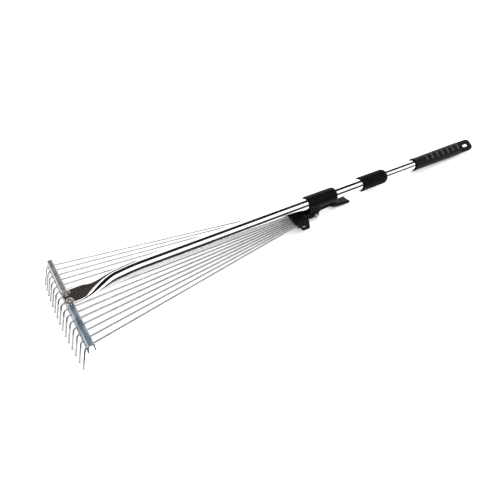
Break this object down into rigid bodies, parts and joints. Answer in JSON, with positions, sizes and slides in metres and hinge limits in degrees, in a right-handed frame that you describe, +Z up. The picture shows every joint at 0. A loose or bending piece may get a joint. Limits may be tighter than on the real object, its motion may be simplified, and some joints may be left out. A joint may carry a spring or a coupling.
{
  "type": "leaf rake",
  "caption": "Adjustable fan rake: hooked wire tines hinge on a slider clamped to a telescoping pole and spread through a slotted crossbar.",
  "frame": {"origin": "on the floor under the middle of the closed rake, which lies on its tine tips and the end of its grip", "axes": "+X along the pole towards the grip, +Y across the rake, +Z up; the pole slopes down by 2.6 degrees towards the grip"},
  "size_m": [0.8392, 0.194, 0.0526],
  "materials": {
    "chrome_tube": "polished thin-wall tube",
    "zinc_sheet": "zinc-plated folded sheet with faint spangle",
    "spring_wire": "plated spring wire",
    "bright_fastener": "nickel-plated, bright",
    "dark_screw": "black oxide",
    "black_plastic": "moulded, satin",
    "white_plastic": "natural moulded",
    "grip_rubber": "soft ribbed grip, fine texture"
  },
  "bodies": {
    "pole": {"crossbar": "zinc_sheet", "main_tube": "chrome_tube", "foot_rivet_left": "bright_fastener", "foot_rivet_right": "bright_fastener", "foot_washer_left": "bright_fastener", "foot_washer_right": "bright_fastener", "lock_collet": "white_plastic"},
    "slider": {"slider_body": "black_plastic", "tine_holder_plate": "black_plastic", "holder_screw_left": "dark_screw", "holder_screw_right": "dark_screw", "lever_pin": "bright_fastener", "lever_nut": "bright_fastener", "clamp_shoe": "white_plastic", "tine_08": "spring_wire"},
    "lever": {"clamp_lever": "black_plastic"},
    "collar": {"lock_collar": "black_plastic"},
    "upper_pole": {"upper_tube": "chrome_tube", "upper_bush": "white_plastic", "grip": "grip_rubber"},
    "tine_01": {"tine_01": "spring_wire"},
    "tine_02": {"tine_02": "spring_wire"},
    "tine_03": {"tine_03": "spring_wire"},
    "tine_04": {"tine_04": "spring_wire"},
    "tine_05": {"tine_05": "spring_wire"},
    "tine_06": {"tine_06": "spring_wire"},
    "tine_07": {"tine_07": "spring_wire"},
    "tine_09": {"tine_09": "spring_wire"},
    "tine_10": {"tine_10": "spring_wire"},
    "tine_11": {"tine_11": "spring_wire"},
    "tine_12": {"tine_12": "spring_wire"},
    "tine_13": {"tine_13": "spring_wire"},
    "tine_14": {"tine_14": "spring_wire"},
    "tine_15": {"tine_15": "spring_wire"}
  },
  "joints": [
    {"name": "head_slide", "type": "slide", "parent": "pole", "child": "slider", "axis": [-0.999, 0, 0.0445], "range_m": [0, 0.16]},
    {"name": "clamp_lever_hinge", "type": "hinge", "parent": "slider", "child": "lever", "pos_m": [0.00911, 0, 0.01049], "axis": [0, 1, 0], "range_deg": [0, 110]},
    {"name": "lock_collar_twist", "type": "hinge", "parent": "pole", "child": "collar", "pos_m": [0.14728, 0, 0.02245], "axis": [0.999, 0, -0.0445], "range_deg": [0, 120]},
    {"name": "pole_extend", "type": "slide", "parent": "pole", "child": "upper_pole", "axis": [0.999, 0, -0.0445], "range_m": [0, 0.36]},
    {"name": "tine_01_swing", "type": "hinge", "parent": "slider", "child": "tine_01", "pos_m": [-0.02374, 0.022, 0.01456], "axis": [0.0445, 0, 0.999], "range_deg": [-6.51, 0]},
    {"name": "tine_02_swing", "type": "hinge", "parent": "slider", "child": "tine_02", "pos_m": [-0.02374, 0.01886, 0.01456], "axis": [0.0445, 0, 0.999], "range_deg": [-5.66, 0]},
    {"name": "tine_03_swing", "type": "hinge", "parent": "slider", "child": "tine_03", "pos_m": [-0.02374, 0.01571, 0.01456], "axis": [0.0445, 0, 0.999], "range_deg": [-4.77, 0]},
    {"name": "tine_04_swing", "type": "hinge", "parent": "slider", "child": "tine_04", "pos_m": [-0.02374, 0.01257, 0.01456], "axis": [0.0445, 0, 0.999], "range_deg": [-3.85, 0]},
    {"name": "tine_05_swing", "type": "hinge", "parent": "slider", "child": "tine_05", "pos_m": [-0.02374, 0.00943, 0.01456], "axis": [0.0445, 0, 0.999], "range_deg": [-2.91, 0]},
    {"name": "tine_06_swing", "type": "hinge", "parent": "slider", "child": "tine_06", "pos_m": [-0.02374, 0.00628, 0.01456], "axis": [0.0445, 0, 0.999], "range_deg": [-1.95, 0]},
    {"name": "tine_07_swing", "type": "hinge", "parent": "slider", "child": "tine_07", "pos_m": [-0.02374, 0.00314, 0.01456], "axis": [0.0445, 0, 0.999], "range_deg": [-0.98, 0]},
    {"name": "tine_09_swing", "type": "hinge", "parent": "slider", "child": "tine_09", "pos_m": [-0.02374, -0.00314, 0.01456], "axis": [0.0445, 0, 0.999], "range_deg": [0, 0.98]},
    {"name": "tine_10_swing", "type": "hinge", "parent": "slider", "child": "tine_10", "pos_m": [-0.02374, -0.00628, 0.01456], "axis": [0.0445, 0, 0.999], "range_deg": [0, 1.95]},
    {"name": "tine_11_swing", "type": "hinge", "parent": "slider", "child": "tine_11", "pos_m": [-0.02374, -0.00943, 0.01456], "axis": [0.0445, 0, 0.999], "range_deg": [0, 2.91]},
    {"name": "tine_12_swing", "type": "hinge", "parent": "slider", "child": "tine_12", "pos_m": [-0.02374, -0.01257, 0.01456], "axis": [0.0445, 0, 0.999], "range_deg": [0, 3.85]},
    {"name": "tine_13_swing", "type": "hinge", "parent": "slider", "child": "tine_13", "pos_m": [-0.02374, -0.01571, 0.01456], "axis": [0.0445, 0, 0.999], "range_deg": [0, 4.77]},
    {"name": "tine_14_swing", "type": "hinge", "parent": "slider", "child": "tine_14", "pos_m": [-0.02374, -0.01886, 0.01456], "axis": [0.0445, 0, 0.999], "range_deg": [0, 5.66]},
    {"name": "tine_15_swing", "type": "hinge", "parent": "slider", "child": "tine_15", "pos_m": [-0.02374, -0.022, 0.01456], "axis": [0.0445, 0, 0.999], "range_deg": [0, 6.51]}
  ],
  "couplings": [
    {"joint": "tine_01_swing", "follows": "head_slide", "rad_per_m": -0.71006},
    {"joint": "tine_02_swing", "follows": "head_slide", "rad_per_m": -0.61681},
    {"joint": "tine_03_swing", "follows": "head_slide", "rad_per_m": -0.51994},
    {"joint": "tine_04_swing", "follows": "head_slide", "rad_per_m": -0.41991},
    {"joint": "tine_05_swing", "follows": "head_slide", "rad_per_m": -0.31729},
    {"joint": "tine_06_swing", "follows": "head_slide", "rad_per_m": -0.21266},
    {"joint": "tine_07_swing", "follows": "head_slide", "rad_per_m": -0.10668},
    {"joint": "tine_09_swing", "follows": "head_slide", "rad_per_m": 0.10668},
    {"joint": "tine_10_swing", "follows": "head_slide", "rad_per_m": 0.21266},
    {"joint": "tine_11_swing", "follows": "head_slide", "rad_per_m": 0.31729},
    {"joint": "tine_12_swing", "follows": "head_slide", "rad_per_m": 0.41991},
    {"joint": "tine_13_swing", "follows": "head_slide", "rad_per_m": 0.51994},
    {"joint": "tine_14_swing", "follows": "head_slide", "rad_per_m": 0.61681},
    {"joint": "tine_15_swing", "follows": "head_slide", "rad_per_m": 0.71006}
  ]
}
